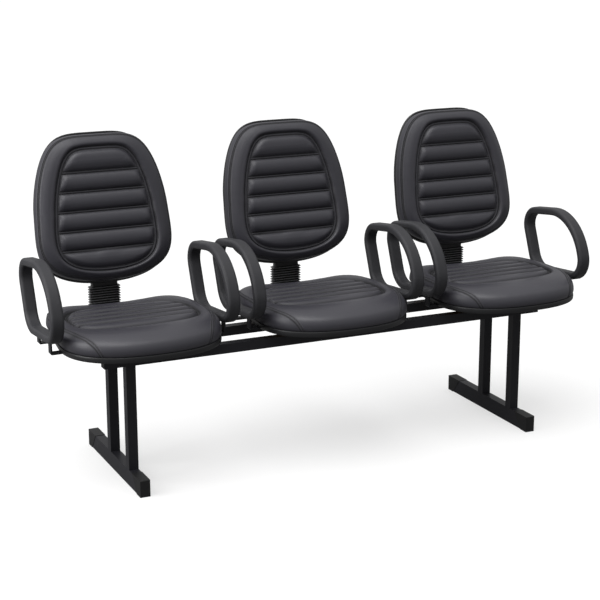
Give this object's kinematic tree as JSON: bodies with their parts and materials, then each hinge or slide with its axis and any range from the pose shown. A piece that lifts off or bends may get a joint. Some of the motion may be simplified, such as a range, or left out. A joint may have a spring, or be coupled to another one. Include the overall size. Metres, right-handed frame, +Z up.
{
  "type": "beam seating",
  "caption": "Upholstered beam seating: padded round seats and height-adjustable backs with loop arms on two square steel beams and floor-standing legs.",
  "frame": {"origin": "middle of the bench's outline, on the floor under the foot caps", "axes": "+X along the beams to the right as seen from the front, +Y to the rear, +Z up"},
  "size_m": [1.83, 0.6256, 1.0055],
  "materials": {
    "frame_steel": "black satin powder coat",
    "plated_steel": "zinc plated",
    "black_plastic": "black moulded polypropylene, fine grain",
    "edge_trim": "black PVC edging, satin",
    "sleeve_rubber": "black ribbed flexible PVC",
    "plywood": "raw moulded plywood",
    "upholstery": "charcoal grained leatherette with sewn channels",
    "arm_foam": "black self-skinned polyurethane, fine grain"
  },
  "bodies": {
    "root": {"arm_bolts": "plated_steel", "beam_end_plugs": "black_plastic", "blade_bolts": "plated_steel", "centre_arm_brackets": "frame_steel", "centre_back_blade": "frame_steel", "centre_blade_sleeve": "sleeve_rubber", "centre_left_arm": "arm_foam", "centre_right_arm": "arm_foam", "centre_seat_board": "plywood", "centre_seat_cushion": "upholstery", "centre_seat_edge_trim": "edge_trim", "claw_nuts": "plated_steel", "foot_caps": "black_plastic", "front_beam": "frame_steel", "left_arm_brackets": "frame_steel", "left_back_blade": "frame_steel", "left_blade_sleeve": "sleeve_rubber", "left_foot_tube": "frame_steel", "left_front_upright": "frame_steel", "left_left_arm": "arm_foam", "left_rear_upright": "frame_steel", "left_right_arm": "arm_foam", "left_seat_board": "plywood", "left_seat_cushion": "upholstery", "left_seat_edge_trim": "edge_trim", "rear_beam": "frame_steel", "right_arm_brackets": "frame_steel", "right_back_blade": "frame_steel", "right_blade_sleeve": "sleeve_rubber", "right_foot_tube": "frame_steel", "right_front_upright": "frame_steel", "right_left_arm": "arm_foam", "right_rear_upright": "frame_steel", "right_right_arm": "arm_foam", "right_seat_board": "plywood", "right_seat_cushion": "upholstery", "right_seat_edge_trim": "edge_trim", "seat_bolts": "plated_steel", "seat_supports": "frame_steel"},
    "left_back": {"left_back_board": "plywood", "left_back_edge_trim": "edge_trim", "left_back_cushion": "upholstery", "left_back_cover": "black_plastic", "left_back_guide": "frame_steel", "left_back_screws": "plated_steel"},
    "left_knob": {"left_height_knob": "black_plastic"},
    "centre_back": {"centre_back_board": "plywood", "centre_back_edge_trim": "edge_trim", "centre_back_cushion": "upholstery", "centre_back_cover": "black_plastic", "centre_back_guide": "frame_steel", "centre_back_screws": "plated_steel"},
    "centre_knob": {"centre_height_knob": "black_plastic"},
    "right_back": {"right_back_board": "plywood", "right_back_edge_trim": "edge_trim", "right_back_cushion": "upholstery", "right_back_cover": "black_plastic", "right_back_guide": "frame_steel", "right_back_screws": "plated_steel"},
    "right_knob": {"right_height_knob": "black_plastic"}
  },
  "joints": [
    {"name": "left_back_height", "type": "slide", "parent": "root", "child": "left_back", "axis": [0, 0.2436, 0.9699], "range_m": [0, 0.05], "deforming": ["left_blade_sleeve"]},
    {"name": "left_knob_turn", "type": "hinge", "parent": "left_back", "child": "left_knob", "pos_m": [-0.625, 0.24502, 0.60774], "axis": [0, 0.9699, -0.2436], "range_deg": [0, 360]},
    {"name": "centre_back_height", "type": "slide", "parent": "root", "child": "centre_back", "axis": [0, 0.2436, 0.9699], "range_m": [0, 0.05], "deforming": ["centre_blade_sleeve"]},
    {"name": "centre_knob_turn", "type": "hinge", "parent": "centre_back", "child": "centre_knob", "pos_m": [0, 0.24502, 0.60774], "axis": [0, 0.9699, -0.2436], "range_deg": [0, 360]},
    {"name": "right_back_height", "type": "slide", "parent": "root", "child": "right_back", "axis": [0, 0.2436, 0.9699], "range_m": [0, 0.05], "deforming": ["right_blade_sleeve"]},
    {"name": "right_knob_turn", "type": "hinge", "parent": "right_back", "child": "right_knob", "pos_m": [0.625, 0.24502, 0.60774], "axis": [0, 0.9699, -0.2436], "range_deg": [0, 360]}
  ]
}
